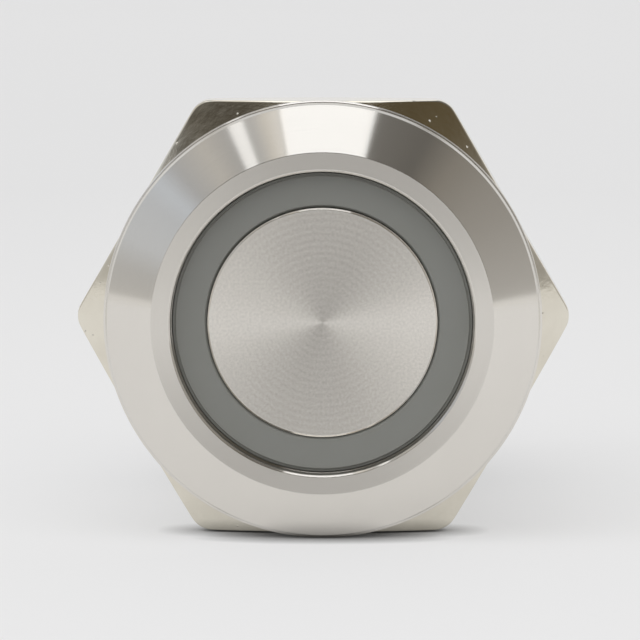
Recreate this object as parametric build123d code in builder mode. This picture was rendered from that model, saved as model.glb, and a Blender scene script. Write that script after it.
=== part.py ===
from build123d import *
import math
import os

os.makedirs("parts", exist_ok=True)

# Millimetres. The switch lies along Y with its face towards -Y, +Z is up.
# Y = 0 is the underside of the head, where the panel's front surface is.

# Housing: bevelled head and threaded barrel, turned in one piece
thread_diameter = 18.9
head_lip = 1.55
head_depth = 2.7
foot_land = 0.34
foot_step = 0.12
wall_height = 0.48
bevel_edge = 0.10
bevel_edge_slope = 0.7
barrel_wall = 1.15
stop_step = 0.8
face_width = 1.02
face_edge = 0.06
bore_edge = 0.10
turned_edge_slope = 0.4
thread_pitch = 1.0
thread_depth = 0.6
thread_crest = 0.125
thread_flank_angle = 30.0
thread_relief = 0.45
key_notch_width = 3.0
key_notch_depth = 1.0
plain_end_margin = 0.06
plain_end_chamfer = 0.35

# Panel fixing
gasket_thickness = 1.0
gasket_inset = 0.4
gasket_bore_clearance = 0.12
nut_flat_inset = 0.1
nut_corner_stand_out = 1.4
nut_face_inset = 0.2
nut_thickness = 3.5
nut_chamfer_angle = 30.0
nut_bore_clearance = 0.05
nut_bore_chamfer = 0.4

# Moving button: cap, light ring and stem
travel = 2.5
running_gap = 0.18
ring_recess = 0.8
ring_width = 1.45
ring_edge = 0.08
cap_gap = 0.15
cap_proud = 0.1
cap_thickness = 1.1
cap_edge = 0.12
cap_relief_depth = 0.25
cap_relief_inner = 2.4
cap_relief_rim = 0.9
cap_pin_radius = 1.6
cap_pin_length = 2.2
cap_pin_clearance = 0.05
ring_floor = 1.2
seal_groove_front = 1.3
seal_groove_depth = 0.82
seal_bore_gap = 0.05
seal_floor_gap = 0.03
seal_side_gap = 0.09
seal_travel_margin = 0.6
skirt_wall = 0.6
flange_thickness = 1.2
flange_gap = 0.3
stop_gap = 0.02
head_seat_gap = 0.1
stem_head_thickness = 1.2
stem_radius = 2.4
stem_flat = 1.9
stem_guide_gap = 0.08
stem_tail_length = 5.0
stem_tail_chamfer = 0.4
window_side_wall = 1.0
spring_spigot_radius = 0.55
spring_spigot_length = 0.6

# Return spring
return_wire = 0.45
return_stem_gap = 0.525
return_turns = 6.5
return_seat_depth = 0.6
return_seat_gap = 0.4
spring_end_grind = 0.2

# Lamp board
lamp_gap = 0.6
lamp_height = 0.7
lamp_side = 1.6
lamp_count = 4
lamp_inset = 1.4
board_thickness = 0.8
board_edge_gap = 0.3
board_spring_gap = 0.625
resistor_length = 2.0
resistor_width = 1.2
resistor_height = 0.5
resistor_inset = 2.1

# Contact chamber
cover_wall = 2.0
cover_side_wall = 0.7
cover_gap = 0.1
guide_tube_wall = 0.9
guide_tube_length = 0.7
arm_clearance = 0.7
strip_thickness = 0.5
strip_bend_radius = 0.5
strip_wall_gap = 1.0
strip_width = 2.2
pair_offset = 2.2
arm_tab = 0.8
fixed_tip_height = 0.4
tip_radius = 0.65
tip_edge = 0.05
tip_taper = 10.0
closed_gap = 0.02
bridge_tip_height = 0.3
bridge_thickness = 0.5
bridge_end_gap = 0.4
bridge_width = 2.4
bridge_side_gap = 0.45
contact_travel = 1.6
contact_spring_length = 3.1
contact_wire = 0.28
contact_mean_radius = 0.88
contact_turns = 4.5

# Base, terminals and resin
base_front_gap = 1.0
base_tube_gap = 0.22
base_stem_bore_extra = 0.6
collar_inset = 0.25
collar_thickness = 1.5
base_inset = 0.7
base_depth = 11.0
base_back_chamfer = 0.4
base_groove_width = 1.6
base_groove_depth = 0.5
base_seal_section = 0.7
base_seal_gap = 0.05
base_seal_side_gap = 0.1
base_seal_land = 0.45
base_seal_key_gap = 0.25
key_gap = 0.1
pocket_wall = 1.05
pocket_depth = 1.6
resin_drop = 0.4
resin_gap = 0.02
slot_gap = 0.05
lug_length = 7.0
lug_corner = 0.5
lug_hole_radius = 0.6
lug_hole_from_end = 1.8
pin_width = 1.2
pin_stand_out = 0.4
pin_slot_gap = 0.05

# Turned sizes that follow
face = -head_depth
bevel_foot = -(foot_land + wall_height)
thread_radius = thread_diameter / 2
thread_root = thread_radius - thread_depth
foot_radius = thread_radius + head_lip
wall_radius = foot_radius - foot_step
chamber_radius = thread_radius - barrel_wall
bore_radius = chamber_radius - stop_step
face_radius = bore_radius + face_width
gasket_radius = foot_radius - gasket_inset
nut_flat_radius = foot_radius - nut_flat_inset
nut_corner_radius = foot_radius + nut_corner_stand_out
nut_face_radius = nut_flat_radius - nut_face_inset

# Radii inside the bore
ring_radius = bore_radius - running_gap
ring_inner = ring_radius - ring_width
cap_radius = ring_inner - cap_gap
groove_radius = ring_radius - seal_groove_depth
hollow_radius = groove_radius - skirt_wall
flange_radius = chamber_radius - flange_gap
stem_head_radius = hollow_radius - head_seat_gap
pin_bore_radius = cap_pin_radius + cap_pin_clearance
guide_radius = stem_radius + stem_guide_gap
guide_flat = stem_flat + stem_guide_gap
window_half = stem_radius - window_side_wall
return_mean_radius = stem_radius + return_stem_gap + return_wire / 2
return_outer = return_mean_radius + return_wire / 2
seal_section = (bore_radius - seal_bore_gap - groove_radius - seal_floor_gap) / 2

# Radii and places round the lamp board and in the contact chamber
board_hole_radius = return_outer + board_spring_gap
lamp_circle_radius = flange_radius - lamp_inset
resistor_circle_radius = flange_radius - resistor_inset
cover_radius = chamber_radius - cover_gap
cover_inner = cover_radius - cover_side_wall
guide_tube_radius = guide_radius + guide_tube_wall
strip_inner_face = cover_inner - strip_wall_gap - strip_thickness
strip_middle = strip_inner_face + strip_thickness / 2
bridge_half_length = strip_inner_face - bridge_end_gap
bridge_waist = 2 * (window_half - bridge_side_gap)
tip_x = bridge_half_length - tip_radius - tip_edge
arm_tip_x = tip_x - tip_radius - tip_edge
collar_radius = thread_radius - collar_inset
base_radius = thread_radius - base_inset
pocket_radius = base_radius - pocket_wall

# Stations along the axis, from the face to the terminals
ring_front = face + ring_recess
cap_front = ring_front - cap_proud
cap_back = cap_front + cap_thickness
ring_floor_back = cap_back + ring_floor
groove_front = ring_front + seal_groove_front
groove_back = groove_front + 2 * (seal_section + seal_side_gap)
step_depth = groove_back + travel + seal_travel_margin
flange_front = step_depth + stop_gap
flange_back = flange_front + flange_thickness
lamp_front = flange_back + travel + lamp_gap
board_front = lamp_front + lamp_height
board_back = board_front + board_thickness
chamber_front = board_back + cover_wall
guide_tube_end = chamber_front + guide_tube_length
front_arm = guide_tube_end + arm_clearance
front_tip_back = front_arm + strip_thickness + fixed_tip_height
bridge_front = front_tip_back + closed_gap + bridge_tip_height
bridge_back = bridge_front + bridge_thickness
rear_tip_front = bridge_back + bridge_tip_height + contact_travel + closed_gap
rear_arm = rear_tip_front + fixed_tip_height
rear_arm_back = rear_arm + strip_thickness
base_front = rear_arm_back + base_front_gap
base_seal_front = base_front + base_seal_land
base_seal_back = base_seal_front + base_seal_section + 2 * base_seal_side_gap
barrel_length = base_seal_back + base_seal_key_gap + key_notch_depth
collar_back = barrel_length + collar_thickness
base_back = barrel_length + base_depth
pocket_floor = base_back - pocket_depth
lug_end = base_back + lug_length
window_front = bridge_front - contact_spring_length
window_back = bridge_back + closed_gap
stem_end = window_back + stem_tail_length
tube_front = bridge_back + contact_travel + base_tube_gap
stem_bore_end = stem_end + travel + base_stem_bore_extra


def at_depth(depth):
    """Plane across the switch's axis at this depth, facing the front."""
    return Plane.XZ.offset(-depth)


def spring(wire, mean_radius, turns, start, end):
    """Round-wire coil spring along Y with ground ends."""
    grind = wire * spring_end_grind
    first = start + wire / 2 - grind
    height = end - start - wire + 2 * grind
    with BuildPart() as coil:
        with BuildLine():
            path = Helix(height / turns, height, mean_radius, center=(0, first, 0), direction=(0, 1, 0))
        with BuildSketch(Plane(origin=path @ 0, z_dir=path % 0)):
            Circle(wire / 2)
        sweep(path=path, is_frenet=True)
        with BuildSketch(at_depth(start)):
            Circle(mean_radius + wire)
        extrude(amount=-(end - start), mode=Mode.INTERSECT)
    return coil


# Thread outline: a ridge at each pitch between the relief under the head and the plain end
thread_flank = thread_depth * math.tan(math.radians(thread_flank_angle))
thread_length = barrel_length - key_notch_depth - plain_end_margin - thread_relief
thread_outline = []
for turn in range(int(thread_length / thread_pitch)):
    ridge = thread_relief + turn * thread_pitch
    thread_outline.append((ridge, thread_root))
    thread_outline.append((ridge + thread_flank, thread_radius))
    thread_outline.append((ridge + thread_flank + thread_crest, thread_radius))
    thread_outline.append((ridge + 2 * thread_flank + thread_crest, thread_root))

# Housing: one turned piece, with the front bore, the stop step and the chamber bore
with BuildPart() as housing:
    with BuildSketch(Plane.YZ):
        with BuildLine():
            Polyline(
                (face, bore_radius + bore_edge),
                (face, face_radius - face_edge),
                (face + face_edge * turned_edge_slope, face_radius),
                (bevel_foot - bevel_edge * bevel_edge_slope, wall_radius - bevel_edge),
                (bevel_foot, wall_radius),
                (-foot_land, wall_radius),
                (-foot_land, foot_radius - foot_step * turned_edge_slope),
                (-foot_land + foot_step * turned_edge_slope, foot_radius),
                (0, foot_radius),
                (0, thread_root),
                *thread_outline,
                (barrel_length - plain_end_chamfer, thread_root),
                (barrel_length, thread_root - plain_end_chamfer),
                (barrel_length, chamber_radius),
                (step_depth, chamber_radius),
                (step_depth, bore_radius),
                (face + bore_edge, bore_radius),
                close=True,
            )
        make_face()
    revolve(axis=Axis.Y)
    with BuildSketch(at_depth(barrel_length - key_notch_depth)):
        Rectangle(2 * foot_radius, key_notch_width)
    extrude(amount=-key_notch_depth, mode=Mode.SUBTRACT)
housing.part.label = "housing"
export_step(housing.part, "parts/housing.step")

# Panel gasket: flat rubber ring over the thread
with BuildPart() as panel_gasket:
    with BuildSketch(at_depth(0)):
        Circle(gasket_radius)
        Circle(thread_radius + gasket_bore_clearance, mode=Mode.SUBTRACT)
    extrude(amount=-gasket_thickness)
panel_gasket.part.label = "panel_gasket"
export_step(panel_gasket.part, "parts/panel_gasket.step")

# Hexagon nut: corners turned down and chamfered on both faces
nut_front = gasket_thickness
nut_back = nut_front + nut_thickness
nut_bore_radius = thread_radius + nut_bore_clearance
nut_chamfer = (nut_corner_radius - nut_face_radius) * math.tan(math.radians(nut_chamfer_angle))
with BuildPart() as hex_nut:
    with BuildSketch(at_depth(nut_front)):
        RegularPolygon(nut_flat_radius, 6, major_radius=False)
    extrude(amount=-nut_thickness)
    with BuildSketch(Plane.YZ):
        with BuildLine():
            Polyline(
                (nut_front, nut_bore_radius + nut_bore_chamfer),
                (nut_front, nut_face_radius),
                (nut_front + nut_chamfer, nut_corner_radius),
                (nut_back - nut_chamfer, nut_corner_radius),
                (nut_back, nut_face_radius),
                (nut_back, nut_bore_radius + nut_bore_chamfer),
                (nut_back - nut_bore_chamfer, nut_bore_radius),
                (nut_front + nut_bore_chamfer, nut_bore_radius),
                close=True,
            )
        make_face()
    revolve(axis=Axis.Y, mode=Mode.INTERSECT)
hex_nut.part.label = "hex_nut"
export_step(hex_nut.part, "parts/hex_nut.step")

# Button cap: turned disc with a relief behind it and a pin into the stem
with BuildPart() as button_cap:
    with BuildSketch(Plane.YZ):
        with BuildLine():
            Polyline(
                (cap_front, 0),
                (cap_front, cap_radius - cap_edge),
                (cap_front + cap_edge, cap_radius),
                (cap_back, cap_radius),
                (cap_back, cap_radius - cap_relief_rim),
                (cap_back - cap_relief_depth, cap_radius - cap_relief_rim),
                (cap_back - cap_relief_depth, cap_relief_inner),
                (cap_back, cap_relief_inner),
                (cap_back, cap_pin_radius),
                (cap_back + cap_pin_length - cap_edge, cap_pin_radius),
                (cap_back + cap_pin_length, cap_pin_radius - cap_edge),
                (cap_back + cap_pin_length, 0),
                close=True,
            )
        make_face()
    revolve(axis=Axis.Y)
button_cap.part.label = "button_cap"
export_step(button_cap.part, "parts/button_cap.step")

# Light ring: light guide with the cap's seat, the seal groove, a hollow skirt and the stop flange
with BuildPart() as light_ring:
    with BuildSketch(Plane.YZ):
        with BuildLine():
            Polyline(
                (ring_front, ring_inner + ring_edge),
                (ring_front, ring_radius - ring_edge),
                (ring_front + ring_edge, ring_radius),
                (groove_front, ring_radius),
                (groove_front, groove_radius),
                (groove_back, groove_radius),
                (groove_back, ring_radius),
                (flange_front, ring_radius),
                (flange_front, flange_radius),
                (flange_back, flange_radius),
                (flange_back, hollow_radius),
                (ring_floor_back, hollow_radius),
                (ring_floor_back, pin_bore_radius),
                (cap_back, pin_bore_radius),
                (cap_back, ring_inner),
                (ring_front + ring_edge, ring_inner),
                close=True,
            )
        make_face()
    revolve(axis=Axis.Y)
light_ring.part.label = "light_ring"
export_step(light_ring.part, "parts/light_ring.step")

# Plunger seal in the light ring's groove
with BuildPart() as plunger_seal:
    with BuildSketch(Plane.YZ):
        with Locations(((groove_front + groove_back) / 2, groove_radius + seal_floor_gap + seal_section)):
            Circle(seal_section)
    revolve(axis=Axis.Y)
plunger_seal.part.label = "plunger_seal"
export_step(plunger_seal.part, "parts/plunger_seal.step")

# Push stem: head in the light ring, flatted shaft and the window that carries the bridge
stem_head_back = ring_floor_back + stem_head_thickness
pin_socket_end = cap_back + cap_pin_length + cap_pin_clearance
window_length = window_back - window_front
with BuildPart() as push_stem:
    with BuildSketch(Plane.YZ):
        with BuildLine():
            Polyline(
                (ring_floor_back, pin_bore_radius),
                (ring_floor_back, stem_head_radius),
                (stem_head_back, stem_head_radius),
                (stem_head_back, stem_radius),
                (stem_end - stem_tail_chamfer, stem_radius),
                (stem_end, stem_radius - stem_tail_chamfer),
                (stem_end, 0),
                (pin_socket_end, 0),
                (pin_socket_end, pin_bore_radius),
                close=True,
            )
        make_face()
    revolve(axis=Axis.Y)
    with BuildSketch(at_depth(stem_head_back)):
        Circle(stem_radius)
        Rectangle(2 * stem_flat, 2 * stem_radius, mode=Mode.SUBTRACT)
    extrude(amount=-(stem_end - stem_head_back), mode=Mode.SUBTRACT)
    with BuildSketch(at_depth(window_front)):
        Rectangle(2 * stem_radius, 2 * window_half)
    extrude(amount=-window_length, mode=Mode.SUBTRACT)
    with BuildSketch(at_depth(window_front)):
        Circle(spring_spigot_radius)
    extrude(amount=-spring_spigot_length)
push_stem.part.label = "push_stem"
export_step(push_stem.part, "parts/push_stem.step")

# Return spring between the stem's head and its seat in the chamber cover
return_seat = board_back + return_seat_depth
return_spring = spring(return_wire, return_mean_radius, return_turns, stem_head_back, return_seat)
return_spring.part.label = "return_spring"
export_step(return_spring.part, "parts/return_spring.step")

# Lamp board: ring-shaped board with a slot for each lamp pin
with BuildPart() as lamp_board:
    with BuildSketch(at_depth(board_front)):
        Circle(chamber_radius - board_edge_gap)
        Circle(board_hole_radius, mode=Mode.SUBTRACT)
        with Locations((0, strip_middle), (0, -strip_middle)):
            Rectangle(pin_width + 2 * pin_slot_gap, strip_thickness + 2 * pin_slot_gap, mode=Mode.SUBTRACT)
    extrude(amount=-board_thickness)
lamp_board.part.label = "lamp_board"
export_step(lamp_board.part, "parts/lamp_board.step")

# Lamp chips facing the light ring's flange
with BuildPart() as lamp_chips:
    with BuildSketch(at_depth(board_front)):
        with PolarLocations(lamp_circle_radius, lamp_count, start_angle=180 / lamp_count):
            Rectangle(lamp_side, lamp_side)
    extrude(amount=lamp_height)
lamp_chips.part.label = "lamp_chips"
export_step(lamp_chips.part, "parts/lamp_chips.step")

# Series resistors, each midway between two lamp chips on opposite sides of the board
resistor_span = 2 * (lamp_count // 2) * 360 / lamp_count
with BuildPart() as series_resistors:
    with BuildSketch(at_depth(board_front)):
        with PolarLocations(resistor_circle_radius, 2, angular_range=resistor_span):
            Rectangle(resistor_width, resistor_length)
    extrude(amount=resistor_height)
series_resistors.part.label = "series_resistors"
export_step(series_resistors.part, "parts/series_resistors.step")

# Chamber cover: cup with the spring seat, the flatted stem guide and slots for the lamp pins
with BuildPart() as chamber_cover:
    with BuildSketch(Plane.YZ):
        with BuildLine():
            Polyline(
                (board_back, return_outer + return_seat_gap),
                (board_back, cover_radius),
                (base_front, cover_radius),
                (base_front, cover_inner),
                (chamber_front, cover_inner),
                (chamber_front, guide_tube_radius),
                (guide_tube_end, guide_tube_radius),
                (guide_tube_end, 0),
                (return_seat, 0),
                (return_seat, return_outer + return_seat_gap),
                close=True,
            )
        make_face()
    revolve(axis=Axis.Y)
    with BuildSketch(at_depth(return_seat)):
        Circle(guide_radius)
        Rectangle(2 * guide_flat, 2 * guide_radius, mode=Mode.INTERSECT)
    extrude(amount=-(guide_tube_end - return_seat), mode=Mode.SUBTRACT)
    with BuildSketch(at_depth(board_back)):
        with Locations((0, strip_middle), (0, -strip_middle)):
            Rectangle(pin_width + 2 * slot_gap, strip_thickness + 2 * slot_gap)
    extrude(amount=-cover_wall, mode=Mode.SUBTRACT)
chamber_cover.part.label = "chamber_cover"
export_step(chamber_cover.part, "parts/chamber_cover.step")

# Contact bridge: waisted strip through the stem's window
with BuildPart() as contact_bridge:
    with BuildSketch(at_depth(bridge_front)) as bridge_outline:
        with Locations((tip_x, 0), (-tip_x, 0)):
            Rectangle(2 * (bridge_half_length - tip_x), bridge_width)
        fillet(bridge_outline.vertices(), (bridge_half_length - tip_x) / 2)
        Rectangle(2 * tip_x, bridge_waist)
    extrude(amount=-bridge_thickness)
contact_bridge.part.label = "contact_bridge"
export_step(contact_bridge.part, "parts/contact_bridge.step")

# Silver tips on both faces of the bridge
with BuildPart() as bridge_tips:
    with BuildSketch(at_depth(bridge_front)):
        with Locations((tip_x, 0), (-tip_x, 0)):
            Circle(tip_radius)
    extrude(amount=bridge_tip_height, taper=tip_taper)
    with BuildSketch(at_depth(bridge_back)):
        with Locations((tip_x, 0), (-tip_x, 0)):
            Circle(tip_radius)
    extrude(amount=-bridge_tip_height, taper=tip_taper)
bridge_tips.part.label = "bridge_tips"
export_step(bridge_tips.part, "parts/bridge_tips.step")

# Contact spring between the window's front wall and the bridge
contact_spring = spring(contact_wire, contact_mean_radius, contact_turns, window_front, bridge_front)
contact_spring.part.label = "contact_spring"
export_step(contact_spring.part, "parts/contact_spring.step")

# Common terminal: forked strip with a front and a rear arm
with BuildPart() as common_terminal:
    with BuildSketch(Plane.XY):
        with BuildLine() as common_bend:
            FilletPolyline(
                (-arm_tip_x, front_arm + strip_thickness / 2),
                (-strip_middle, front_arm + strip_thickness / 2),
                (-strip_middle, lug_end),
                radius=strip_bend_radius,
            )
        trace(common_bend.line, strip_thickness)
        with BuildLine() as common_branch:
            Line((-arm_tip_x, rear_arm + strip_thickness / 2), (-strip_middle, rear_arm + strip_thickness / 2))
        trace(common_branch.line, strip_thickness)
    extrude(amount=strip_width, both=True)
    with BuildSketch(Plane.YZ):
        with BuildLine():
            Polyline(
                (front_arm, -strip_width / 2),
                (lug_end - lug_corner, -strip_width / 2),
                (lug_end, -strip_width / 2 + lug_corner),
                (lug_end, strip_width / 2 - lug_corner),
                (lug_end - lug_corner, strip_width / 2),
                (front_arm, strip_width / 2),
                close=True,
            )
        make_face()
        with Locations((lug_end - lug_hole_from_end, 0)):
            Circle(lug_hole_radius, mode=Mode.SUBTRACT)
    extrude(amount=2 * strip_middle, both=True, mode=Mode.INTERSECT)
common_terminal.part.label = "common_terminal"
export_step(common_terminal.part, "parts/common_terminal.step")


def side_terminal(arm, side):
    """Strip on the right with one arm at this depth, on the upper (+1) or lower (-1) side."""
    middle = side * pair_offset
    near = middle - side * strip_width / 2
    far = middle + side * strip_width / 2
    with BuildPart() as strip:
        with BuildSketch(Plane.XY):
            with BuildLine() as bend:
                FilletPolyline(
                    (arm_tip_x, arm + strip_thickness / 2),
                    (strip_middle, arm + strip_thickness / 2),
                    (strip_middle, lug_end),
                    radius=strip_bend_radius,
                )
            trace(bend.line, strip_thickness)
        extrude(amount=2 * (pair_offset + strip_width), both=True)
        with BuildSketch(Plane.YZ):
            with BuildLine():
                Polyline(
                    (arm, -side * arm_tab),
                    (arm, far),
                    (lug_end - lug_corner, far),
                    (lug_end, far - side * lug_corner),
                    (lug_end, near + side * lug_corner),
                    (lug_end - lug_corner, near),
                    (arm + strip_thickness, near),
                    (arm + strip_thickness, -side * arm_tab),
                    close=True,
                )
            make_face()
            with Locations((lug_end - lug_hole_from_end, middle)):
                Circle(lug_hole_radius, mode=Mode.SUBTRACT)
        extrude(amount=2 * strip_middle, both=True, mode=Mode.INTERSECT)
    return strip


# Normally closed strip, with its arm in front of the bridge
closed_terminal = side_terminal(front_arm, -1)
closed_terminal.part.label = "closed_terminal"
export_step(closed_terminal.part, "parts/closed_terminal.step")

# Normally open strip, with its arm behind the bridge
open_terminal = side_terminal(rear_arm, 1)
open_terminal.part.label = "open_terminal"
export_step(open_terminal.part, "parts/open_terminal.step")

# Silver tips on the fixed arms
with BuildPart() as fixed_tips:
    with BuildSketch(at_depth(front_arm + strip_thickness)):
        with Locations((tip_x, 0), (-tip_x, 0)):
            Circle(tip_radius)
    extrude(amount=-fixed_tip_height, taper=tip_taper)
    with BuildSketch(at_depth(rear_arm)):
        with Locations((tip_x, 0), (-tip_x, 0)):
            Circle(tip_radius)
    extrude(amount=fixed_tip_height, taper=tip_taper)
fixed_tips.part.label = "fixed_tips"
export_step(fixed_tips.part, "parts/fixed_tips.step")


def lamp_terminal(side):
    """Straight strip from the lamp board to its lug, above (+1) or below (-1) the axis."""
    height = side * strip_middle - strip_thickness / 2
    with BuildPart() as strip:
        with BuildSketch(Plane.XY.offset(height)):
            with BuildLine():
                Polyline(
                    (-pin_width / 2, board_front - pin_stand_out),
                    (pin_width / 2, board_front - pin_stand_out),
                    (pin_width / 2, base_front),
                    (strip_width / 2, base_front),
                    (strip_width / 2, lug_end - lug_corner),
                    (strip_width / 2 - lug_corner, lug_end),
                    (-strip_width / 2 + lug_corner, lug_end),
                    (-strip_width / 2, lug_end - lug_corner),
                    (-strip_width / 2, base_front),
                    (-pin_width / 2, base_front),
                    close=True,
                )
            make_face()
            with Locations((0, lug_end - lug_hole_from_end)):
                Circle(lug_hole_radius, mode=Mode.SUBTRACT)
        extrude(amount=strip_thickness)
    return strip


lamp_plus_terminal = lamp_terminal(1)
lamp_plus_terminal.part.label = "lamp_plus_terminal"
export_step(lamp_plus_terminal.part, "parts/lamp_plus_terminal.step")

lamp_minus_terminal = lamp_terminal(-1)
lamp_minus_terminal.part.label = "lamp_minus_terminal"
export_step(lamp_minus_terminal.part, "parts/lamp_minus_terminal.step")


def strip_slots(gap):
    """Slots for the five strips in a sketch across the axis."""
    thick = strip_thickness + 2 * gap
    wide = strip_width + 2 * gap
    with Locations((-strip_middle, 0), (strip_middle, pair_offset), (strip_middle, -pair_offset)):
        Rectangle(thick, wide, mode=Mode.SUBTRACT)
    with Locations((0, strip_middle), (0, -strip_middle)):
        Rectangle(wide, thick, mode=Mode.SUBTRACT)


# Terminal base: insert in the barrel, collar, body with a resin pocket, and the tube that guides the stem's tail
base_seal_radius = cover_radius - base_seal_section
with BuildPart() as terminal_base:
    with BuildSketch(at_depth(base_front)):
        Circle(cover_radius)
        strip_slots(slot_gap)
    extrude(amount=-(barrel_length - base_front))
    with BuildSketch(at_depth(barrel_length)):
        Circle(collar_radius)
        strip_slots(slot_gap)
    extrude(amount=-collar_thickness)
    with BuildSketch(at_depth(collar_back)):
        Circle(base_radius)
        strip_slots(slot_gap)
    extrude(amount=-(base_back - collar_back))
    with BuildSketch(Plane.YZ):
        with BuildLine():
            Polyline(
                (base_seal_front, base_seal_radius),
                (base_seal_back, base_seal_radius),
                (base_seal_back, chamber_radius),
                (base_seal_front, chamber_radius),
                close=True,
            )
        make_face()
    revolve(axis=Axis.Y, mode=Mode.SUBTRACT)
    chamfer(terminal_base.edges().filter_by(GeomType.CIRCLE).sort_by(Axis.Y)[-1], base_back_chamfer)
    with BuildSketch(at_depth(pocket_floor)):
        Circle(pocket_radius)
    extrude(amount=-pocket_depth, mode=Mode.SUBTRACT)
    with BuildSketch(at_depth(tube_front)):
        Circle(guide_tube_radius)
    extrude(amount=-(base_front - tube_front))
    with BuildSketch(at_depth(tube_front)):
        Circle(guide_radius)
        Rectangle(2 * guide_flat, 2 * guide_radius, mode=Mode.INTERSECT)
    extrude(amount=-(stem_bore_end - tube_front), mode=Mode.SUBTRACT)
    with BuildSketch(at_depth(barrel_length - key_notch_depth + key_gap)):
        Circle(thread_root - plain_end_chamfer)
        Rectangle(2 * collar_radius, key_notch_width - 2 * key_gap, mode=Mode.INTERSECT)
        Circle(cover_radius - key_gap, mode=Mode.SUBTRACT)
    extrude(amount=-(key_notch_depth - key_gap))
    with BuildSketch(at_depth(collar_back)):
        with Locations((0, base_radius), (0, -base_radius)):
            Rectangle(base_groove_width, 2 * base_groove_depth)
    extrude(amount=-(base_back - collar_back), mode=Mode.SUBTRACT)
terminal_base.part.label = "terminal_base"
export_step(terminal_base.part, "parts/terminal_base.step")

# Base seal in the insert's groove
base_seal_half = (chamber_radius - base_seal_gap - base_seal_radius - base_seal_gap) / 2
with BuildPart() as base_seal:
    with BuildSketch(Plane.YZ):
        with Locations(((base_seal_front + base_seal_back) / 2, base_seal_radius + base_seal_gap + base_seal_half)):
            Circle(base_seal_half)
    revolve(axis=Axis.Y)
base_seal.part.label = "base_seal"
export_step(base_seal.part, "parts/base_seal.step")

# Resin round the strips in the base's pocket
with BuildPart() as rear_potting:
    with BuildSketch(at_depth(pocket_floor)):
        Circle(pocket_radius - resin_gap)
        strip_slots(resin_gap)
    extrude(amount=-(pocket_depth - resin_drop))
rear_potting.part.label = "rear_potting"
export_step(rear_potting.part, "parts/rear_potting.step")

print("switch", round(-face, 2), "in front of the panel and", round(lug_end, 2), "behind it")
print("barrel", round(barrel_length, 2), "long, base ends at", round(base_back, 2))
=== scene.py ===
# %% [markdown]
# # Illuminated metal push button
# A panel-mounted push button lies on a white table and faces the camera. Its head and its cap are turned parts, so
# most of this lesson is about turned metal: how to spin an outline into a mesh, and how a surface cut by a lathe
# tool throws its light sideways to its grooves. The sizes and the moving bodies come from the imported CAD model,
# which is loaded first and stays where it is.

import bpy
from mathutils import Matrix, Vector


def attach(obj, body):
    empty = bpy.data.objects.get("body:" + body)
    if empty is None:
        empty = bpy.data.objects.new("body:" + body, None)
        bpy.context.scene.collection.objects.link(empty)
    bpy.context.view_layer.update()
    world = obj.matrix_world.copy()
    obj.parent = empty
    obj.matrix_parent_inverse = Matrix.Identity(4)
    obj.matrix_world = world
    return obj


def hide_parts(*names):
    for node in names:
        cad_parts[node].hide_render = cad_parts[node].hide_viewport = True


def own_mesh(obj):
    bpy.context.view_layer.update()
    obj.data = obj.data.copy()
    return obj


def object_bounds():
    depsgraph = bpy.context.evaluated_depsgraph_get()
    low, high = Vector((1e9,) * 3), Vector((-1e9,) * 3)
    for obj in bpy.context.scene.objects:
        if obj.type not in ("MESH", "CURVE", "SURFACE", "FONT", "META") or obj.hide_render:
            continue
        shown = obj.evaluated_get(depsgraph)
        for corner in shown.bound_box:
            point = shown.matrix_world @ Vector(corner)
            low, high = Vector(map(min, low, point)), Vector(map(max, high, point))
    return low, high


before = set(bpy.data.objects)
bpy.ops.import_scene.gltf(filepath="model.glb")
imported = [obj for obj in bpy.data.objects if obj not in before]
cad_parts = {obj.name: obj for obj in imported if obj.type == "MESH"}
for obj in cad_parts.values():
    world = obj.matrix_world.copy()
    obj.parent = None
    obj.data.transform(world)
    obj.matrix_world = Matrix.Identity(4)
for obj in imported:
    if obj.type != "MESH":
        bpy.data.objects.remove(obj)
cad_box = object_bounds()

# %% Modules and the unit
import math

import bmesh
import bpy
from mathutils import Matrix, Vector

MM = 0.001
UM = 0.000001
scene = bpy.context.scene
print("CAD box in mm", [[round(v / MM, 2) for v in corner] for corner in cad_box])

# %% [markdown]
# ## Colours and nodes
# A colour picked from a screen is an sRGB value, and the renderer works with linear light, so one function turns the
# first into the second. One more function adds a shader or geometry node, and a small one gives a node its values
# and links. With them a material reads from top to bottom, from its coordinates to its surface.


# %% Colour and node helpers
def linear(code, alpha=1.0):
    """Linear colour of an sRGB hex code."""
    values = [int(code[i:i + 2], 16) / 255 for i in (1, 3, 5)]
    return tuple(v / 12.92 if v <= 0.04045 else ((v + 0.055) / 1.055) ** 2.4 for v in values) + (alpha,)


def give(tree, node, inputs):
    """Give a node's inputs plain values or the sockets to link."""
    for name, value in inputs.items():
        if isinstance(value, bpy.types.NodeSocket):
            tree.links.new(value, node.inputs[name])
        else:
            node.inputs[name].default_value = value


def add(tree, kind, inputs=None, **settings):
    """Add a node. Settings go on the node itself, inputs to its sockets."""
    made = tree.nodes.new(kind)
    for name, value in settings.items():
        setattr(made, name, value)
    give(tree, made, inputs or {})
    return made


def ramp(tree, factor, stops):
    """Add a colour ramp with (position, colour) stops."""
    made = add(tree, "ShaderNodeValToRGB", {"Fac": factor})
    elements = made.color_ramp.elements
    while len(elements) < len(stops):
        elements.new(0.5)
    for element, (position, colour) in zip(elements, stops):
        element.position = position
        element.color = colour
    return made.outputs["Color"]


def new_material(name):
    """Make a material with a Principled surface, and return it with its tree and shader."""
    made = bpy.data.materials.new(name)
    made.use_nodes = True
    tree = made.node_tree
    return made, tree, tree.nodes["Principled BSDF"]


print("white is", linear("#FFFFFF")[0], "and mid grey", round(linear("#808080")[0], 3))

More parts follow.
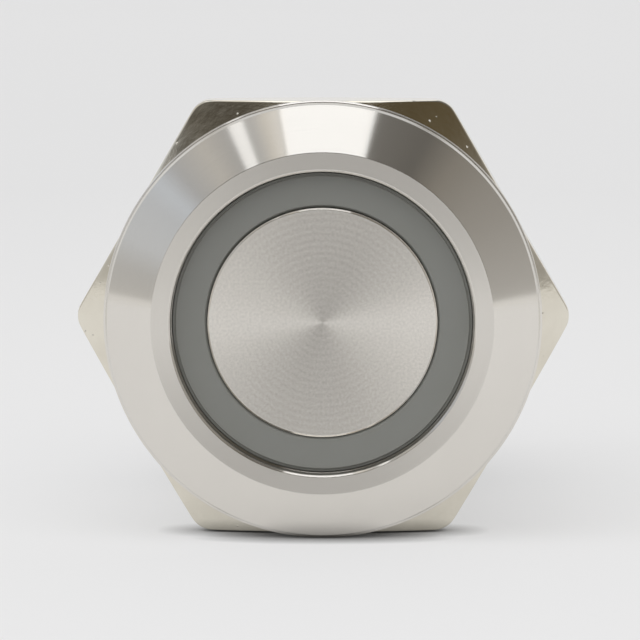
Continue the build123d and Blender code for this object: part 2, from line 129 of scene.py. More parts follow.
# %% [markdown]
# ## Turned metal
# A lathe leaves rings too fine to see. Across them the surface is rough and along them it is smooth, so a
# reflection is drawn out from the centre to the rim and stays narrow round the circle. A bump with the real rings
# would need far more pixels than a picture has. The shader's anisotropy gives the same look, with its direction
# taken round the switch's axis: the cross product of the axis and the point's own place. The rings that a camera
# does see come from noise and a sine wave that only read the distance to the axis.


# %% Distance and direction round the axis
def around_axis(tree):
    """Sockets with the distance to the Y axis in millimetres and the direction round it."""
    place = add(tree, "ShaderNodeTexCoord").outputs["Object"]
    flat = add(tree, "ShaderNodeVectorMath", {0: place, 1: (1.0, 0.0, 1.0)}, operation="MULTIPLY").outputs["Vector"]
    length = add(tree, "ShaderNodeVectorMath", {0: flat}, operation="LENGTH").outputs["Value"]
    distance = add(tree, "ShaderNodeMath", {0: length, 1: 1 / MM}, operation="MULTIPLY").outputs["Value"]
    turn = add(tree, "ShaderNodeVectorMath", {0: flat, 1: (0.0, 1.0, 0.0)}, operation="CROSS_PRODUCT")
    direction = add(tree, "ShaderNodeVectorMath", {0: turn.outputs["Vector"]}, operation="NORMALIZE")
    return place, distance, direction.outputs["Vector"]


GRAINS_PER_MM = 8.5
SHADES_PER_MM = 0.14
# The colour grows darker within this distance of the axis, down to the factor below at the centre.
CENTRE_DARKENING_MM = 5.0
CENTRE_DARKENING = 0.88
FACE_BLEND_MM = 0.03
print("the tool cuts slowly within", CENTRE_DARKENING_MM, "mm of the axis")


# %% Turned metal
def turned_metal(name, light, dark, roughness, ring_mm, ring_um, feed_mm, feed_um, grain_um, speckle, streaks,
                 face_mm, finer, face_painted_shade):
    """Metal cut by a lathe tool: uneven fine rings, the tool's regular feed marks, and two close shades.

    Between the two distances of face_mm the cut is coarse, and its colour is multiplied by face_painted_shade:
    painted shade for the dimmer reflection of that coarse cut. Outside them the roughness is finer times as large.
    Towards the centre the colour grows darker.
    """
    made, tree, shader = new_material(name)
    place, distance, direction = around_axis(tree)
    rings = add(tree, "ShaderNodeTexNoise", {"W": distance, "Scale": 1 / ring_mm, "Detail": 2.0, "Roughness": 0.6},
                noise_dimensions="1D").outputs["Fac"]
    phase = add(tree, "ShaderNodeMath", {0: distance, 1: 2 * math.pi / feed_mm}, operation="MULTIPLY")
    feed = add(tree, "ShaderNodeMath", {0: phase.outputs["Value"]}, operation="SINE").outputs["Value"]
    marks = add(tree, "ShaderNodeMath", {0: feed, 1: feed_um / 2}, operation="MULTIPLY").outputs["Value"]
    grain = add(tree, "ShaderNodeTexNoise", {"Vector": place, "Scale": GRAINS_PER_MM / MM,
                                             "Detail": 1.0}).outputs["Fac"]
    rough_marks = add(tree, "ShaderNodeMath", {0: grain, 1: grain_um, 2: marks}, operation="MULTIPLY_ADD")
    height = add(tree, "ShaderNodeMath", {0: rings, 1: ring_um, 2: rough_marks.outputs["Value"]},
                 operation="MULTIPLY_ADD").outputs["Value"]
    patches = add(tree, "ShaderNodeTexNoise", {"Vector": place, "Scale": SHADES_PER_MM / MM,
                                               "Detail": 3.0}).outputs["Fac"]
    shade = ramp(tree, patches, [(0.35, linear(dark)), (0.65, linear(light))])
    off_middle = add(tree, "ShaderNodeMath", {0: distance, 1: sum(face_mm) / 2}, operation="SUBTRACT")
    from_middle = add(tree, "ShaderNodeMath", {0: off_middle.outputs["Value"]}, operation="ABSOLUTE")
    half = (face_mm[1] - face_mm[0]) / 2
    outside = add(tree, "ShaderNodeMapRange", {
        "Value": from_middle.outputs["Value"], "From Min": half - FACE_BLEND_MM,
        "From Max": half + FACE_BLEND_MM}).outputs["Result"]
    # Darker towards the centre.
    towards_centre = add(tree, "ShaderNodeMapRange", {"Value": distance, "From Max": CENTRE_DARKENING_MM,
                                            "To Min": CENTRE_DARKENING}).outputs["Result"]
    # Painted shade: on the face the colour is darker, for the face's dimmer reflection.
    face = add(tree, "ShaderNodeMapRange", {"Value": outside, "To Min": face_painted_shade, "To Max": 1.0}).outputs["Result"]
    torn = add(tree, "ShaderNodeMapRange", {"Value": grain, "From Min": 0.3, "From Max": 0.7, "To Min": 1 - speckle,
                                            "To Max": 1 + speckle}).outputs["Result"]
    # The colour's factors: darker towards the centre, painted shade on the face, and the grain's speckle.
    speckle_darkening_and_painted_shade = towards_centre
    for factor in (face, torn):
        speckle_darkening_and_painted_shade = add(tree, "ShaderNodeMath", {0: speckle_darkening_and_painted_shade, 1: factor}, operation="MULTIPLY").outputs["Value"]
    shade = add(tree, "ShaderNodeVectorMath", {0: shade, 1: speckle_darkening_and_painted_shade}, operation="MULTIPLY").outputs["Vector"]
    uneven = add(tree, "ShaderNodeMapRange", {"Value": rings, "From Min": 0.3, "From Max": 0.7,
                                              "To Min": roughness - streaks, "To Max": roughness + streaks})
    cut = add(tree, "ShaderNodeMapRange", {"Value": outside, "To Min": 1.0, "To Max": finer}).outputs["Result"]
    rough = add(tree, "ShaderNodeMath", {0: uneven.outputs["Result"], 1: cut}, operation="MULTIPLY")
    bump = add(tree, "ShaderNodeBump", {"Height": height, "Strength": 1.0, "Distance": UM})
    give(tree, shader, {"Base Color": shade, "Roughness": rough.outputs["Value"], "Normal": bump.outputs["Normal"],
                        "Tangent": direction, "Metallic": 1.0, "Anisotropic": 1.0, "Anisotropic Rotation": 0.25})
    return made


# %% Finishes of the head and the cap
# Satin nickel plate over turned brass: warm, pale, and drawn out from the centre in every reflection.
# Its flat ring round the bore gets painted shade, a darker colour for that ring's dimmer reflection.
satin_nickel = turned_metal("satin_nickel_on_turned_brass", "#EAE6DF", "#E6E2DB", 0.26, ring_mm=0.12, ring_um=0.08,
                            feed_mm=0.10, feed_um=0.03, grain_um=0.12, speckle=0.01, streaks=0.01,
                            face_mm=(7.69, 8.55), finer=0.70, face_painted_shade=0.93)
# Turned stainless steel: the cap shows fine circles with a light grain between them. A real feed of about 0.05 mm
# is too fine to show in the render, so it is drawn at 0.33 mm.
# Its colour grows darker towards the centre.
spun_steel = turned_metal("spun_stainless_steel", "#E6E2DB", "#E1DDD6", 0.27, ring_mm=0.10, ring_um=0.015,
                          feed_mm=0.33, feed_um=1.30, grain_um=0.60, speckle=0.055, streaks=0.003,
                          face_mm=(-5.64, 5.64), finer=0.45, face_painted_shade=1.0)
print("turned metals", satin_nickel.name, spun_steel.name)

# %% [markdown]
# ## Plated nut
# The nut is pressed and plated, not turned, so it mirrors its surroundings alike in all directions. The plate
# copies the unevenness of the pressed brass under it, which bends and marbles the reflections, and pits leave small
# specks, bright where the reflection is dark. Noise gives the unevenness. A Voronoi pattern gives each pit a cell of
# its own, and the cell's random colour decides whether it has one.

# %% Bright nickel
# Bright nickel plate over pressed brass: a warm mirror with a marbled skin. Real pits are under a pixel, so these
# are drawn about a tenth of a millimetre wide. Heights count in steps of 1.6 micrometres.
HEIGHT_STEP = 1.6 * UM
WAVES_PER_MM = 0.42
WAVE_HEIGHT = 11.0
PIT_CELLS_PER_MM = 2.6
PIT_EDGE, PIT_FLOOR = 0.16, 0.04
PIT_HEIGHT = 15.0
PLAIN_CELLS = 0.70
bright_nickel, tree, shader = new_material("bright_nickel_plate")
place = add(tree, "ShaderNodeTexCoord").outputs["Object"]
waves = add(tree, "ShaderNodeTexNoise", {"Vector": place, "Scale": WAVES_PER_MM / MM, "Detail": 7.0,
                                         "Roughness": 0.62}).outputs["Fac"]
cells = add(tree, "ShaderNodeTexVoronoi", {"Vector": place, "Scale": PIT_CELLS_PER_MM / MM}).outputs
chance = add(tree, "ShaderNodeSeparateXYZ", {"Vector": cells["Color"]}).outputs["X"]
picked = add(tree, "ShaderNodeMath", {0: chance, 1: PLAIN_CELLS}, operation="GREATER_THAN").outputs["Value"]
speck = add(tree, "ShaderNodeMapRange", {"Value": cells["Distance"], "From Min": PIT_EDGE, "From Max": PIT_FLOOR})
pit = add(tree, "ShaderNodeMath", {0: speck.outputs["Result"], 1: picked}, operation="MULTIPLY").outputs["Value"]
pit_height = add(tree, "ShaderNodeMath", {0: pit, 1: PIT_HEIGHT}, operation="MULTIPLY").outputs["Value"]
height = add(tree, "ShaderNodeMath", {0: waves, 1: WAVE_HEIGHT, 2: pit_height},
             operation="MULTIPLY_ADD").outputs["Value"]
bump = add(tree, "ShaderNodeBump", {"Height": height, "Strength": 1.0, "Distance": HEIGHT_STEP})
wear = add(tree, "ShaderNodeMapRange", {"Value": waves, "From Min": 0.3, "From Max": 0.7,
                                        "To Min": 0.07, "To Max": 0.14})
shades = ramp(tree, waves, [(0.3, linear("#E1DBCD")), (0.7, linear("#EDE8DB"))])
give(tree, shader, {"Base Color": shades, "Roughness": wear.outputs["Result"], "Normal": bump.outputs["Normal"],
                    "Metallic": 1.0})
print("nut finish", bright_nickel.name)

# %% [markdown]
# ## Moulded and rubber parts
# The light guide is a milky polycarbonate: even, slightly soft at its edges, with hardly any texture. The base is
# black glass-filled nylon with the fine grain of an eroded mould, the stem is natural acetal, and the seals and the
# panel gasket are black nitrile rubber, which is matt and a little dusty. A mould's grain, two close shades and a
# roughness that drifts are common to all of them, so one function makes them and only the numbers differ.


# %% Moulded plastic and rubber
CLOUDS_PER_MM = 0.26


def moulded(name, light, dark, roughness, grain_mm, grain_um, coat=0.0, subsurface=0.0):
    """Moulded plastic or rubber: two close shades, a fine grain and a roughness that varies with it."""
    made, tree, shader = new_material(name)
    place = add(tree, "ShaderNodeTexCoord").outputs["Object"]
    grain = add(tree, "ShaderNodeTexNoise", {"Vector": place, "Scale": 1 / (grain_mm * MM),
                                             "Detail": 4.0}).outputs["Fac"]
    cloud = add(tree, "ShaderNodeTexNoise", {"Vector": place, "Scale": CLOUDS_PER_MM / MM,
                                             "Detail": 2.0}).outputs["Fac"]
    rough = add(tree, "ShaderNodeMapRange", {"Value": cloud, "From Min": 0.3, "From Max": 0.7,
                                             "To Min": roughness - 0.05, "To Max": roughness + 0.05})
    bump = add(tree, "ShaderNodeBump", {"Height": grain, "Strength": 1.0, "Distance": grain_um * UM})
    give(tree, shader, {"Base Color": ramp(tree, cloud, [(0.3, linear(dark)), (0.7, linear(light))]),
                        "Roughness": rough.outputs["Result"], "Normal": bump.outputs["Normal"], "IOR": 1.5,
                        "Coat Weight": coat, "Subsurface Weight": subsurface,
                        "Subsurface Radius": (1.0, 0.9, 0.8), "Subsurface Scale": 0.5 * MM})
    return made


# %% The moulded finishes
# Milky polycarbonate over a dark cavity: an even, cool grey while the lamp is off.
milky_polycarbonate = moulded("milky_polycarbonate", "#8B8C88", "#888984", 0.42, 0.10, 0.4, coat=0.2,
                              subsurface=0.25)
# Nitrile rubber: matt black with a grey bloom.
nitrile_rubber = moulded("nitrile_rubber", "#262626", "#1C1C1C", 0.62, 0.12, 3.0)
# Glass-filled nylon: black with the fine sparkle of an eroded mould.
black_nylon = moulded("glass_filled_nylon", "#222324", "#191A1B", 0.50, 0.09, 3.0)
# Natural acetal: waxy off-white.
white_acetal = moulded("natural_acetal", "#E4E1D6", "#DBD8CC", 0.36, 0.20, 1.0, subsurface=0.1)
# Cast epoxy: glossy black with a skin that is not quite level.
cast_epoxy = moulded("cast_epoxy", "#1B1A19", "#131312", 0.20, 0.60, 6.0, coat=0.3)
print("materials so far", len(bpy.data.materials))

# %% [markdown]
# ## Strip and contact metals
# The terminals are stamped from tinned brass strip, with rolling lines along the strip. The bridge is a spring
# bronze, its tips and the fixed tips are fine silver, and the springs are drawn stainless wire. Noise that is
# stretched thirty times along one axis draws such lines, and it has no seams on any side of a strip.


# %% Rolled and drawn metals
ALONG_X, ALONG_Y = 0, 1
STRETCH = 30
SPOTS_PER_MM = 0.5


def rolled_metal(name, light, dark, roughness, along, line_mm, line_um):
    """Rolled or drawn metal: lines that run along one axis."""
    made, tree, shader = new_material(name)
    place = add(tree, "ShaderNodeTexCoord").outputs["Object"]
    stretch = [1 / (line_mm * MM)] * 3
    stretch[along] /= STRETCH
    lines = add(tree, "ShaderNodeMapping", {"Vector": place, "Scale": tuple(stretch)}).outputs["Vector"]
    grain = add(tree, "ShaderNodeTexNoise", {"Vector": lines, "Scale": 1.0, "Detail": 3.0}).outputs["Fac"]
    spots = add(tree, "ShaderNodeTexNoise", {"Vector": place, "Scale": SPOTS_PER_MM / MM,
                                             "Detail": 3.0}).outputs["Fac"]
    rough = add(tree, "ShaderNodeMapRange", {"Value": grain, "From Min": 0.3, "From Max": 0.7,
                                             "To Min": roughness - 0.06, "To Max": roughness + 0.06})
    bump = add(tree, "ShaderNodeBump", {"Height": grain, "Strength": 1.0, "Distance": line_um * UM})
    give(tree, shader, {"Base Color": ramp(tree, spots, [(0.3, linear(dark)), (0.7, linear(light))]),
                        "Roughness": rough.outputs["Result"], "Normal": bump.outputs["Normal"], "Metallic": 1.0})
    return made


# %% The strip and wire finishes
# Tinned brass strip: a pale, slightly dull mirror with lines from the front to the lug.
tinned_brass = rolled_metal("tinned_brass_strip", "#DAD8D2", "#C8C5BD", 0.30, ALONG_Y, 0.10, 2.0)
# Rolled spring bronze: warm copper brown, lined along the bridge.
spring_bronze = rolled_metal("spring_bronze", "#D9A874", "#C8935F", 0.28, ALONG_X, 0.10, 1.5)
# Pressed fine silver: the whitest metal here.
fine_silver = rolled_metal("fine_silver", "#EEECE8", "#DDD9D0", 0.24, ALONG_X, 0.08, 1.0)
# Drawn stainless wire: grey, with the die's very fine lines.
drawn_steel = rolled_metal("drawn_stainless_wire", "#D2D0CB", "#BDBAB4", 0.26, ALONG_Y, 0.05, 0.8)
print("materials so far", len(bpy.data.materials))

# %% [markdown]
# ## Lamp board
# The board is white solder mask on glass laminate, so that it throws stray light forward. The lamp chips are
# ceramic with a yellow phosphor window, and the resistors are a black film on ceramic. The chips stand on one ring
# round the axis and the resistors on another, so both take their two colours from the distance to that ring. That
# needs no second mesh for a window.

# %% Board, chip and resistor materials
# White solder mask over woven glass: a clean, half-glossy white.
white_laminate = moulded("white_masked_laminate", "#E7E6DF", "#DCDAD0", 0.38, 0.30, 4.0, coat=0.2)

CHIP_GRAINS_PER_MM = 6.0
WINDOW_BLEND_MM = 0.03


def two_tone(name, inner, outer, window_mm, centre_mm, roughness):
    """Chip with an inner window and an outer body, by the distance from the ring on which the chips sit."""
    made, tree, shader = new_material(name)
    place, distance = around_axis(tree)[:2]
    off = add(tree, "ShaderNodeMath", {0: distance, 1: centre_mm}, operation="SUBTRACT").outputs["Value"]
    away = add(tree, "ShaderNodeMath", {0: off}, operation="ABSOLUTE").outputs["Value"]
    step = add(tree, "ShaderNodeMapRange", {"Value": away, "From Min": window_mm - WINDOW_BLEND_MM,
                                            "From Max": window_mm + WINDOW_BLEND_MM})
    grain = add(tree, "ShaderNodeTexNoise", {"Vector": place, "Scale": CHIP_GRAINS_PER_MM / MM,
                                             "Detail": 2.0}).outputs["Fac"]
    bump = add(tree, "ShaderNodeBump", {"Height": grain, "Strength": 1.0, "Distance": 1.5 * UM})
    colour = ramp(tree, step.outputs["Result"], [(0.0, linear(inner)), (1.0, linear(outer))])
    give(tree, shader, {"Base Color": colour, "Normal": bump.outputs["Normal"], "Roughness": roughness})
    return made


# Fired ceramic with a yellow phosphor window. The chips stand 6.6 mm from the axis.
lamp_ceramic = two_tone("lamp_chip_ceramic", "#E2C23A", "#F0EEE6", 0.45, 6.6, 0.35)
# Glazed resistor film: nearly black, with a paler edge. The resistors stand 5.9 mm from the axis.
resistor_film = two_tone("resistor_film", "#17181A", "#2B2C2E", 0.35, 5.9, 0.30)
print("materials so far", len(bpy.data.materials))

# %% [markdown]
# ## Outlines that spin
# A turned part is one outline swept round the axis. Square corners look false, because every real edge catches a
# thin line of light, so each corner becomes a small arc. Two guard points sit just outside the arc. They keep the
# smooth shading of the arc from leaking into the flat beside it. A bevel modifier could round the mesh later, but
# here each corner can have its own radius.

# %% Round the corners of an outline
ON_AXIS = 1e-6
CORNER_SHARE = 0.45
GUARD_SHARE = 0.04


def softened(outline, radius, steps=3, guard=0.012):
    """Round each corner of a closed (depth, radius) outline in millimetres."""
    made = []
    for i, point in enumerate(outline):
        here = Vector(point[:2])
        if here.y < ON_AXIS:
            made.append(tuple(here))
            continue
        before = Vector(outline[i - 1][:2]) - here
        after = Vector(outline[(i + 1) % len(outline)][:2]) - here
        size = point[2] if len(point) > 2 else radius
        reach = min(size, before.length * CORNER_SHARE, after.length * CORNER_SHARE)
        start = before.normalized()
        end = after.normalized()
        space = min(guard, before.length * GUARD_SHARE, after.length * GUARD_SHARE)
        made.append(tuple(here + start * (reach + space)))
        for k in range(steps + 1):
            t = k / steps
            made.append(tuple(here + start * reach * (1 - t) ** 2 + end * reach * t ** 2))
        made.append(tuple(here + end * (reach + space)))
    return made


print("a softened square has", len(softened([(0, 1), (1, 1), (1, 2), (0, 2)], 0.1)), "points")


# %% Finish a mesh
def finished(name, mesh, material, sharp=40):
    """Make an object from a mesh in metres: closed doubles, outward normals and smooth shading."""
    work = bmesh.new()
    work.from_mesh(mesh)
    bmesh.ops.remove_doubles(work, verts=work.verts, dist=1e-7)
    bmesh.ops.recalc_face_normals(work, faces=work.faces)
    work.to_mesh(mesh)
    work.free()
    mesh.polygons.foreach_set("use_smooth", [True] * len(mesh.polygons))
    mesh.set_sharp_from_angle(angle=math.radians(sharp))
    mesh.materials.clear()
    mesh.materials.append(material)
    made = bpy.data.objects.new(name, mesh)
    scene.collection.objects.link(made)
    return made


# %% Spin an outline
def spun(name, outline, material, segments=192):
    """Spin a closed (depth, radius) outline in millimetres round the Y axis."""
    points = []
    faces = []
    rows = []
    for depth, radius in outline:
        if radius < ON_AXIS:
            rows.append([len(points)] * segments)
            points.append((0.0, depth * MM, 0.0))
            continue
        rows.append(list(range(len(points), len(points) + segments)))
        for k in range(segments):
            turn = 2 * math.pi * k / segments
            points.append((radius * math.cos(turn) * MM, depth * MM, radius * math.sin(turn) * MM))
    for row, following in zip(rows, rows[1:] + rows[:1]):
        if row[0] == row[1] and following[0] == following[1]:
            continue
        for k in range(segments):
            n = (k + 1) % segments
            corners = [row[k], row[n], following[n], following[k]]
            faces.append([c for j, c in enumerate(corners) if c not in corners[:j]])
    mesh = bpy.data.meshes.new(name)
    mesh.from_pydata(points, [], faces)
    return finished(name, mesh, material)


# %% [markdown]
# ## Head and barrel
# The head is a bevelled bezel with a flat ring round the bore. Below the bevel a low step leads to the wider foot
# that presses on the panel. The barrel behind it carries the thread, so here it has the thread's root diameter and
# the thread itself is added as a ridge. On the real switch both are turned from one bar, so one outline makes both.
# Two notches at the barrel's end key the terminal base. They are milled afterwards, here with a boolean.

# %% Bezel and barrel
FACE = -2.7
MOUTH = 7.58
BORE = 7.5
FOOT = 10.995
THREAD_ROOT = 8.85
BARREL_END = 20.96
CHAMBER = 8.3
STEP_DEPTH = 3.6
BEVEL_TOP = 8.54
bezel_outline = softened([
    (FACE, MOUTH + 0.10, 0.02),
    (FACE, BEVEL_TOP, 0.02),
    (-0.887, 10.80, 0.03),
    (-0.42, 10.90, 0.03),
    (-0.38, 10.86, 0.01),
    (-0.36, 10.93, 0.01),
    (-0.28, FOOT, 0.03),
    (0.0, FOOT, 0.04),
    (0.0, 9.35, 0.10),
    (0.45, THREAD_ROOT, 0.10),
    (BARREL_END - 0.35, THREAD_ROOT, 0.05),
    (BARREL_END, THREAD_ROOT - 0.35, 0.05),
    (BARREL_END, CHAMBER, 0.03),
    (STEP_DEPTH, CHAMBER, 0.05),
    (STEP_DEPTH, BORE, 0.05),
    (-1.76, BORE, 0.02),
    (-1.82, MOUTH, 0.02),
    (FACE + 0.10, MOUTH, 0.02),
], 0.05)
bezel = spun("bezel_and_barrel", bezel_outline, satin_nickel, 256)
print("outline points", len(bezel_outline))

# %% Key notches
CUTTER = (24 * MM, 2 * MM, 3 * MM, 1)
notch = bmesh.new()
bmesh.ops.create_cube(notch, size=1.0, matrix=Matrix.Translation((0, BARREL_END * MM, 0))
                      @ Matrix.Diagonal(CUTTER))
notch_mesh = bpy.data.meshes.new("notch")
notch.to_mesh(notch_mesh)
notch.free()
cutter = bpy.data.objects.new("notch", notch_mesh)
scene.collection.objects.link(cutter)
cut = bezel.modifiers.new("key_notches", "BOOLEAN")
cut.operation = "DIFFERENCE"
cut.solver = "EXACT"
cut.object = cutter
print("the cutter is", round(CUTTER[2] / MM), "mm high")


# %% Plain meshes that ride on a body
def plain_mesh(obj, name):
    """Turn an object with its modifiers into a plain mesh, and remove the modifiers."""
    bpy.context.view_layer.update()
    evaluated = obj.evaluated_get(bpy.context.evaluated_depsgraph_get())
    mesh = bpy.data.meshes.new_from_object(evaluated)
    mesh.name = name
    obj.modifiers.clear()
    obj.data = mesh
    return mesh


def stand_in(obj, body, *nodes):
    """Let a piece move with its body and stand for these CAD nodes, which it hides."""
    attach(obj, body)
    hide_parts(*nodes)
    print(obj.name, "rides on", body, "with", len(obj.data.polygons), "faces")


plain_mesh(bezel, "bezel_and_barrel")
bpy.data.objects.remove(cutter)
bezel.data.set_sharp_from_angle(angle=math.radians(40))
stand_in(bezel, "switch_body", "housing")

# %% [markdown]
# ## Helical thread and coil springs
# A screw thread and a coil spring are the same shape: a profile that follows a helix. A screw modifier could turn a
# profile round too, but Geometry Nodes make both from one tree, with the sizes as inputs. It gives the thread's
# ridge, with flanks at sixty degrees to each other, and with a round wire the return spring and the small contact
# spring. The curve's normal is kept level with Z Up, because otherwise the profile slowly rolls over as it climbs. A
# curve radius that falls to nothing at both ends makes the thread run out smoothly, as the cutting tool leaves it.
# The result becomes a plain mesh before it rides on its body.

# %% Inputs of the helix
HELIX_INPUTS = (
    ("Radius", "Float", 0.003), ("Turns", "Float", 6.0), ("Length", "Float", 0.01), ("Start", "Float", 0.0),
    ("Wire Radius", "Float", 0.0), ("Ridge Height", "Float", 0.0006), ("Crest Width", "Float", 0.0001),
    ("Profile Sides", "Int", 12), ("Run Out", "Float", 0.0), ("Steps", "Int", 64), ("Material", "Material", None))
FLANK_ANGLE = 30
FILLET = 0.04 * MM
THIN_END = 0.02
print("a helix has", len(HELIX_INPUTS), "inputs")


# %% The path and its thickness
def helix_path(tree, source):
    """Helix round the Z axis that thins out at both ends over the run-out."""
    path = add(tree, "GeometryNodeCurveSpiral", {"Resolution": source["Steps"], "Rotations": source["Turns"],
                                                 "Start Radius": source["Radius"], "End Radius": source["Radius"],
                                                 "Height": source["Length"]}).outputs["Curve"]
    along = add(tree, "GeometryNodeSplineParameter").outputs["Factor"]
    rising = add(tree, "ShaderNodeMapRange", {"Value": along, "From Max": source["Run Out"],
                                              "To Min": THIN_END})
    from_end = add(tree, "ShaderNodeMath", {0: 1.0, 1: along}, operation="SUBTRACT").outputs["Value"]
    falling = add(tree, "ShaderNodeMapRange", {"Value": from_end, "From Max": source["Run Out"],
                                               "To Min": THIN_END})
    both = add(tree, "ShaderNodeMath", {0: rising.outputs["Result"], 1: falling.outputs["Result"]},
               operation="MINIMUM").outputs["Value"]
    ends = add(tree, "ShaderNodeMath", {0: source["Run Out"], 1: 1e-6}, operation="GREATER_THAN").outputs["Value"]
    size = add(tree, "ShaderNodeMix", {"Factor": ends, "A": 1.0, "B": both}, data_type="FLOAT").outputs["Result"]
    scaled = add(tree, "GeometryNodeSetCurveRadius", {"Curve": path, "Radius": size}).outputs["Curve"]
    return add(tree, "GeometryNodeSetCurveNormal", {"Curve": scaled}, mode="Z_UP").outputs["Curve"]


# %% The profile
def helix_profile(tree, source):
    """Round wire, or the thread's ridge with softened corners where the wire's radius is nothing."""
    wire = add(tree, "GeometryNodeCurvePrimitiveCircle", {"Resolution": source["Profile Sides"],
                                                          "Radius": source["Wire Radius"]}).outputs["Curve"]
    root = add(tree, "ShaderNodeMath", {0: source["Ridge Height"], 1: 2 * math.tan(math.radians(FLANK_ANGLE)),
                                        2: source["Crest Width"]}, operation="MULTIPLY_ADD").outputs["Value"]
    ridge = add(tree, "GeometryNodeCurvePrimitiveQuadrilateral", {
        "Bottom Width": root, "Top Width": source["Crest Width"], "Height": source["Ridge Height"], "Offset": 0.0},
        mode="TRAPEZOID").outputs["Curve"]
    shift = add(tree, "ShaderNodeMath", {0: source["Ridge Height"], 1: -0.5}, operation="MULTIPLY").outputs["Value"]
    outwards = add(tree, "ShaderNodeCombineXYZ", {"X": shift}).outputs["Vector"]
    ridge = add(tree, "GeometryNodeTransform", {"Geometry": ridge, "Translation": outwards,
                                                "Rotation": (0.0, 0.0, math.pi / 2)}).outputs["Geometry"]
    ridge = add(tree, "GeometryNodeFilletCurve", {"Curve": ridge, "Radius": FILLET, "Count": 2},
                mode="POLY").outputs["Curve"]
    round_wire = add(tree, "ShaderNodeMath", {0: source["Wire Radius"], 1: 1e-6}, operation="GREATER_THAN")
    return add(tree, "GeometryNodeSwitch", {"Switch": round_wire.outputs["Value"], "False": ridge, "True": wire},
               input_type="GEOMETRY").outputs["Output"]


# %% The tree for all helices
def helix_tree():
    """Profile swept along a helix and laid round the Y axis."""
    tree = bpy.data.node_groups.new("helix_sweep", "GeometryNodeTree")
    tree.interface.new_socket(name="Geometry", in_out="OUTPUT", socket_type="NodeSocketGeometry")
    for name, kind, default in HELIX_INPUTS:
        made = tree.interface.new_socket(name=name, in_out="INPUT", socket_type="NodeSocket" + kind)
        if default is not None:
            made.default_value = default
    source = add(tree, "NodeGroupInput").outputs
    path = helix_path(tree, source)
    profile = helix_profile(tree, source)
    swept = add(tree, "GeometryNodeCurveToMesh", {"Curve": path, "Profile Curve": profile, "Fill Caps": True})
    down = add(tree, "ShaderNodeCombineXYZ", {"Y": source["Start"]}).outputs["Vector"]
    laid = add(tree, "GeometryNodeTransform", {"Geometry": swept.outputs["Mesh"], "Translation": down,
                                               "Rotation": (-math.pi / 2, 0.0, 0.0)}).outputs["Geometry"]
    real = add(tree, "GeometryNodeRealizeInstances", {"Geometry": laid}).outputs["Geometry"]
    dressed = add(tree, "GeometryNodeSetMaterial", {"Geometry": real, "Material": source["Material"]})
    target = add(tree, "NodeGroupOutput")
    tree.links.new(dressed.outputs["Geometry"], target.inputs["Geometry"])
    return tree


def helix(name, tree, material, **sizes):
    """Plain mesh object from the helix tree, with its inputs given by name."""
    made = bpy.data.objects.new(name, bpy.data.meshes.new(name))
    scene.collection.objects.link(made)
    modifier = made.modifiers.new("helix", "NODES")
    modifier.node_group = tree
    sizes["Material"] = material
    for item in tree.interface.items_tree:
        if item.in_out == "INPUT" and item.name in sizes:
            modifier[item.identifier] = sizes[item.name]
    mesh = plain_mesh(made, name)
    bpy.data.objects.remove(made)
    return finished(name, mesh, material, sharp=50)


sweep = helix_tree()
print("nodes in the tree", len(sweep.nodes))

# %% Thread
# The pitch is 1 mm. The ridge's foot lies 0.05 mm inside the barrel, and its crest is an eighth of the pitch wide.
THREAD_TURNS = 18.6
thread = helix("barrel_thread", sweep, satin_nickel, **{
    "Radius": 8.80 * MM, "Turns": THREAD_TURNS, "Length": THREAD_TURNS * MM, "Start": 0.95 * MM,
    "Ridge Height": 0.65 * MM, "Crest Width": 0.125 * MM, "Run Out": 0.02, "Steps": 72})
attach(thread, "switch_body")
print("thread faces", len(thread.data.polygons))


# %% Springs
def ground_flat(obj, low, high):
    """Grind a spring's ends flat between two depths in millimetres."""
    work = bmesh.new()
    work.from_mesh(obj.data)
    for depth, side in ((low, -1), (high, 1)):
        cut = bmesh.ops.bisect_plane(work, geom=work.verts[:] + work.edges[:] + work.faces[:],
                                     plane_co=(0, depth * MM, 0), plane_no=(0, side, 0), clear_outer=True)
        rim = [e for e in cut["geom_cut"] if isinstance(e, bmesh.types.BMEdge)]
        bmesh.ops.holes_fill(work, edges=rim)
    bmesh.ops.recalc_face_normals(work, faces=work.faces)
    work.to_mesh(obj.data)
    work.free()


return_coil = helix("return_coil", sweep, drawn_steel, **{
    "Radius": 3.15 * MM, "Turns": 6.5, "Length": 8.25 * MM, "Start": 1.635 * MM, "Wire Radius": 0.225 * MM,
    "Profile Sides": 14, "Steps": 48})
ground_flat(return_coil, 1.5, 10.02)
stand_in(return_coil, "switch_body", "return_spring")
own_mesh(return_coil)
contact_coil = helix("contact_coil", sweep, drawn_steel, **{
    "Radius": 0.88 * MM, "Turns": 4.5, "Length": 2.932 * MM, "Start": 11.024 * MM, "Wire Radius": 0.14 * MM,
    "Profile Sides": 10, "Steps": 40})
ground_flat(contact_coil, 10.94, 14.04)
stand_in(contact_coil, "button", "contact_spring")
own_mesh(contact_coil)

# %% [markdown]
# ## Hexagon nut
# A nut's corners are turned off at an angle on both faces, and where that cone meets a flat it leaves the curved
# edge that everyone knows. The outline in one direction depends on the angle round the axis only, through the
# distance to the flat, so the nut is a spun mesh whose outer radius changes with the angle. A boolean of a prism
# and a cone would give the same form with hard edges. The directions lie closer together at the corners, where the
# radius changes fast, and a smooth minimum of flat and corner rounds the edge between them.

# %% Sizes and sides of the nut
NUT_FRONT = 1.0
NUT_BACK = 4.5
NUT_FLAT = 10.9
NUT_CORNER = 12.4
NUT_FACE = 10.7
NUT_BORE = 9.5
NUT_SLOPE = math.tan(math.radians(30))
NUT_CHAMFER = 0.4
BLEND = 0.06


